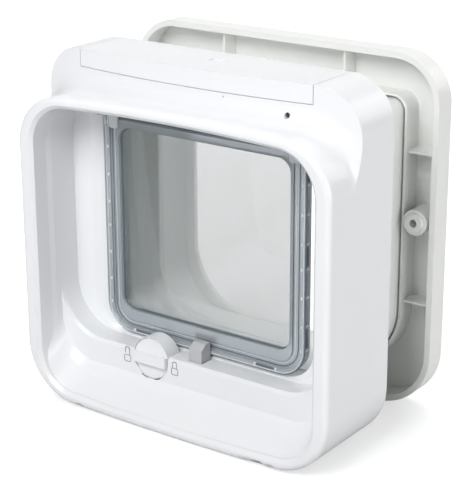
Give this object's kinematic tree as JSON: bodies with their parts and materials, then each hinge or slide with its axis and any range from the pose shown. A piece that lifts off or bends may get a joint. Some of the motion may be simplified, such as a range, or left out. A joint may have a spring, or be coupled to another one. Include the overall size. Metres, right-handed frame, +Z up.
{
  "type": "cat flap",
  "caption": "Two-way cat flap with a hooded inside unit, battery hump, clear hinged flap, latch tab, rotary lock and a tunnel through the door to a tray-shaped outside frame.",
  "frame": {"origin": "bottom centre of the whole: mid width, half way between the hood's front rim and the outside frame's outer face, at the lowest point of the hood", "axes": "+Z up, +Y out of doors through the tunnel, the room side faces -Y, +X to the right seen from the room"},
  "size_m": [0.21, 0.127, 0.2115],
  "materials": {
    "white_gloss": "smooth glossy moulding",
    "white_satin": "satin moulding",
    "grey_plastic": "satin",
    "smoke_plastic": "translucent smoky moulding",
    "clear_plastic": "clear polished sheet",
    "screw_steel": "zinc plated",
    "pin_steel": "bright",
    "copper_coil": "enamelled winding",
    "magnet": "nickel plated",
    "cell": "plain sleeve",
    "contact_nickel": "nickel plated",
    "board_green": "solder mask",
    "black_plastic": "moulded",
    "lamp": "clear dome",
    "dark_lens": "tinted lens",
    "button_red": "moulded",
    "solenoid": "wound coil in a frame"
  },
  "bodies": {
    "housing": {"front_housing": "white_gloss", "rear_cover": "white_satin", "cover_screws": "screw_steel", "tunnel_duct": "white_satin", "tunnel_liner": "white_satin", "aerial_front": "copper_coil", "aerial_rear": "copper_coil", "exterior_frame": "white_gloss", "battery_tray": "grey_plastic", "battery_1": "cell", "battery_2": "cell", "battery_3": "cell", "battery_4": "cell", "contact_springs": "contact_nickel", "contact_plates": "contact_nickel", "circuit_board": "board_green", "board_components": "black_plastic", "indicator_lamp": "lamp", "indicator_lens": "dark_lens", "button_socket": "black_plastic", "inside_solenoid": "solenoid", "outside_solenoid": "solenoid"},
    "flap": {"flap_frame": "smoke_plastic", "flap_window": "clear_plastic", "hinge_pin_left": "pin_steel", "hinge_pin_right": "pin_steel", "flap_magnet": "magnet"},
    "inside_latch": {"inside_latch": "grey_plastic"},
    "outside_latch": {"outside_latch": "grey_plastic"},
    "lock_knob": {"lock_knob": "white_gloss", "lock_cam": "grey_plastic"},
    "battery_cover": {"battery_cover": "white_gloss"},
    "learn_button": {"learn_button": "button_red"}
  },
  "joints": [
    {"name": "flap_swing", "type": "hinge", "parent": "housing", "child": "flap", "pos_m": [0, -0.0265, 0.171], "axis": [1, 0, 0], "range_deg": [0, 80]},
    {"name": "inside_latch_slide", "type": "slide", "parent": "housing", "child": "inside_latch", "axis": [0, 0, 1], "range_m": [-0.0095, 0], "stiffness_N_per_m": 40, "springref_m": 0.002},
    {"name": "outside_latch_slide", "type": "slide", "parent": "housing", "child": "outside_latch", "axis": [0, 0, 1], "range_m": [0, 0.0095], "stiffness_N_per_m": 40, "springref_m": -0.002},
    {"name": "lock_turn", "type": "hinge", "parent": "housing", "child": "lock_knob", "pos_m": [-0.0272, -0.0429, 0.0348], "axis": [0, 1, 0], "range_deg": [-90, 90]},
    {"name": "battery_cover_lift", "type": "slide", "parent": "housing", "child": "battery_cover", "axis": [0, 0, 1], "range_m": [0, 0.04]},
    {"name": "learn_button_push", "type": "slide", "parent": "housing", "child": "learn_button", "axis": [0, 0, -1], "range_m": [0, 0.001], "stiffness_N_per_m": 200, "springref_m": -0.001}
  ]
}
